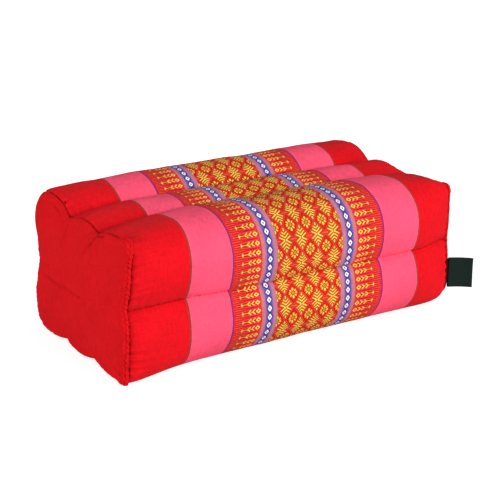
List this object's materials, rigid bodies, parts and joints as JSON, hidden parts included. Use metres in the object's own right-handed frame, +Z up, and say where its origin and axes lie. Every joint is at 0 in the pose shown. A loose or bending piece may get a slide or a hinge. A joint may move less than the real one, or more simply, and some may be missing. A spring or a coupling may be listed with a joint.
{
  "type": "meditation cushion",
  "caption": "Firm block-shaped meditation cushion: packed fibre in a striped, patterned wrap sewn into long rolls, with plain end panels and a blank tag.",
  "frame": {"origin": "middle of the base, on the flat of the middle roll, under the middle of the woven pattern", "axes": "+X along the cushion towards the end with the tag, +Y from the front to the back, +Z up"},
  "size_m": [0.3861, 0.2039, 0.1398],
  "materials": {
    "wrap_cloth": "woven cotton blend, red ends with pink bands and a yellow, violet and white woven pattern across the middle",
    "end_cloth": "plain woven cotton, deep red, matt",
    "tag_tape": "close satin-woven tape, green black, blank"
  },
  "bodies": {
    "root": {"cushion_body": "wrap_cloth", "end_panel_left": "end_cloth", "end_panel_right": "end_cloth", "tag": "tag_tape"}
  },
  "joints": []
}
